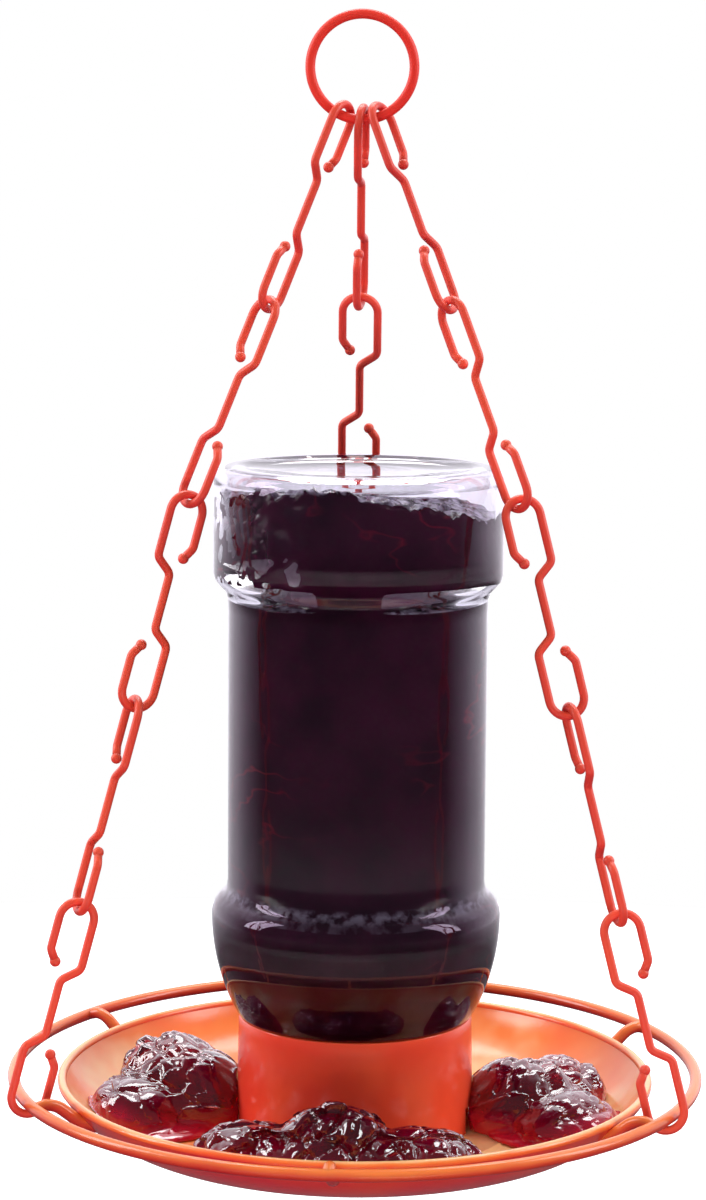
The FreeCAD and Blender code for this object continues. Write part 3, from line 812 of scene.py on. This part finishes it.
def make_jar_jelly():
    """The jelly in the jar: it wets the glass, with air pockets at the heel and a slumped top."""
    side = [point for point in jar_inside() if point[0] > 36.5 or point[1] < 50]
    side[0] = (side[0][0], FILL_BOTTOM)
    filled = []
    for one, two in zip(side, side[1:]):
        near = abs((one[1] + two[1]) / 2 - GROOVE_HEIGHT) < GROOVE_HALF + 4
        pieces = max(int(math.dist(one, two) / (FINE_STEP if near else COARSE_STEP)), 1)
        filled += [(one[0] + (two[0] - one[0]) * step / pieces,
                    one[1] + (two[1] - one[1]) * step / pieces) for step in range(pieces)]
    filled.append(side[-1])
    wall = [(radius + WETTING, height) for radius, height in filled]
    crown = [(wall[-1][0] * (1 - step / CROWN_STEPS), wall[-1][1])
             for step in range(1, CROWN_STEPS)]
    bm = bmesh.new()
    lathe(bm, wall + crown + [(0, wall[-1][1]), (0, FILL_BOTTOM)], FILL_STEPS)
    for vert in bm.verts:
        place = vert.co.copy()
        reach = math.hypot(place.x, place.y)
        # Pockets of air at the left of the heel
        if reach > POCKET_REACH * MM and place.z > HEEL_START * MM:
            left = min(max((POCKET_SIDE * MM - place.x) / (POCKET_FADE * MM), 0.0), 1.0)
            lump = noise.noise(place * 190.0) + 0.7 * noise.noise(place * 420.0)
            inward = max(lump - 0.05, 0.0) * POCKET_DEPTH * MM * left
            vert.co.x -= place.x / reach * inward
            vert.co.y -= place.y / reach * inward
        # The ring of air under the heel, open at the sides only
        if reach > GROOVE_REACH * MM:
            aside = min(max((abs(place.x) - GROOVE_SIDE * MM) / (GROOVE_FADE * MM), 0.0), 1.0)
            shrink = 1 - groove(place.z / MM) * MM * aside / reach
            vert.co.x *= shrink
            vert.co.y *= shrink
        vert.co.z = min(vert.co.z, jelly_top(place.x, place.y))
    return mesh_of(bm, "jar_jelly", JAR_JELLY)


# Jelly mounds: four lumps each, as azimuth in degrees, then distance, height and three radii

MOUNDS = {
    "left": ((180.0, 56.5, 6.0, 21.0, 20.0, 18.5), (188.0, 75.0, 3.0, 17.0, 20.0, 14.0),
             (168.0, 66.0, 8.0, 19.0, 17.0, 18.0), (186.0, 66.0, 0.5, 21.0, 27.0, 4.0)),
    "front": ((268.0, 60.0, 6.0, 18.0, 22.0, 18.0), (245.0, 65.0, 3.0, 16.0, 24.0, 14.0),
              (290.0, 65.0, 3.0, 16.0, 26.0, 14.0), (268.0, 62.0, 0.5, 21.0, 44.0, 5.0)),
    "right": ((2.0, 58.0, 5.0, 22.0, 20.0, 18.5), (350.0, 75.0, 3.0, 18.0, 19.0, 13.0),
              (13.0, 72.0, 5.0, 17.0, 17.0, 15.0), (357.0, 66.0, 0.5, 21.0, 27.0, 4.0)),
}


def floor_at(reach):
    """Height of the dish's inner surface at a distance from the axis, in millimetres."""
    level = FLOOR_HEIGHT + WALL
    if reach <= FLOOR_RADIUS:
        return level
    radius = wall_radius() - WALL
    return FLOOR_HEIGHT + wall_radius() - math.sqrt(max(radius ** 2 - (reach - FLOOR_RADIUS) ** 2, 0))


def collar_radius(height):
    """Outer radius of the collar at a height: its foot flares."""
    foot = FLOOR_HEIGHT + WALL
    share = (height - foot) / (COLLAR_HEIGHT - foot)
    return COLLAR_BORE + COLLAR_WALL + COLLAR_FLARE * (1 - min(max(share, 0.0), 1.0))


def make_mound(side):
    """One heap of jelly: its lumps joined, broken into facets and kept inside the dish."""
    pieces = []
    for azimuth, distance, height, along, across, upward in MOUNDS[side]:
        bm = bmesh.new()
        bmesh.ops.create_icosphere(bm, subdivisions=4, radius=1.0)
        bmesh.ops.scale(bm, vec=Vector((along, across, upward)) * MM, verts=bm.verts)
        turn = Matrix.Rotation(math.radians(azimuth), 4, "Z")
        level = FLOOR_HEIGHT + WALL + height
        bmesh.ops.transform(bm, verts=bm.verts,
                            matrix=turn @ Matrix.Translation(Vector((distance, 0, level)) * MM))
        pieces.append(mesh_of(bm, "lump", DISH_JELLY))
    mound = pieces[0]
    bpy.ops.object.select_all(action="DESELECT")
    for piece in pieces:
        piece.select_set(True)
    bpy.context.view_layer.objects.active = mound
    bpy.ops.object.join()
    remesh = mound.modifiers.new("remesh", "REMESH")
    remesh.mode = "VOXEL"
    remesh.voxel_size = HEAP_VOXEL * MM
    bpy.ops.object.modifier_apply(modifier=remesh.name)
    depths = []
    for vert in mound.data.vertices:
        place = vert.co
        fold = shard(place, 70.0, 0.0085) + shard(place, 150.0, 0.0030)
        ripple = noise.noise(place * 420.0) * 0.0003
        lift = place - Vector((place.x, place.y, 0)) * 0.4
        above = place.z - floor_at(math.hypot(place.x, place.y) / MM) * MM
        fold *= min(max(above / (HEAP_FADE * MM), 0.2), 1.0)
        place = place + lift.normalized() * (fold + ripple - HEAP_SETTLE * MM)
        reach = math.hypot(place.x, place.y) / MM
        collar = collar_radius(place.z / MM) + COLLAR_GAP
        if reach < collar:
            place.x *= collar / reach
            place.y *= collar / reach
            reach = collar
        limit = (floor_at(reach) + FLOOR_GAP) * MM
        if place.z < limit:
            place.z = limit
        vert.co = place
        depths.append(place.z - limit)
    mound.data.attributes.new("depth", "FLOAT", "POINT").data.foreach_set("value", depths)
    mound.name = "jelly_heap_" + side
    for face in mound.data.polygons:
        face.use_smooth = True
    return mound


make_camera()
make_studio()

for piece, node in ((make_dish(), "feeding_tray"), (make_collar(), "jar_collar"),
                    (make_perch(), "perch_ring")):
    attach(piece, "feeder")
    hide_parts(node)

ring = make_ring()
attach(ring, "ring")
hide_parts("hanging_ring")

joints = {joint["name"]: joint for joint in frame["joints"]}
for chain, turns in CHAIN_TURNS.items():
    for number, degrees in enumerate(turns, start=1):
        node = "%s_link_%d" % (chain, number)
        link = make_link(node, joints[node + "_swivel"], CHAIN_AZIMUTH[chain], degrees)
        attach(link, node)
        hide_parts(node)

jar = make_jar()
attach(jar, "jar")
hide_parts("glass_jar")

filling = make_jar_jelly()
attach(filling, "jar")
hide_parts("jelly_fill")

for side in MOUNDS:
    mound = make_mound(side)
    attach(mound, "feeder")
    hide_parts("jelly_mound_" + side)
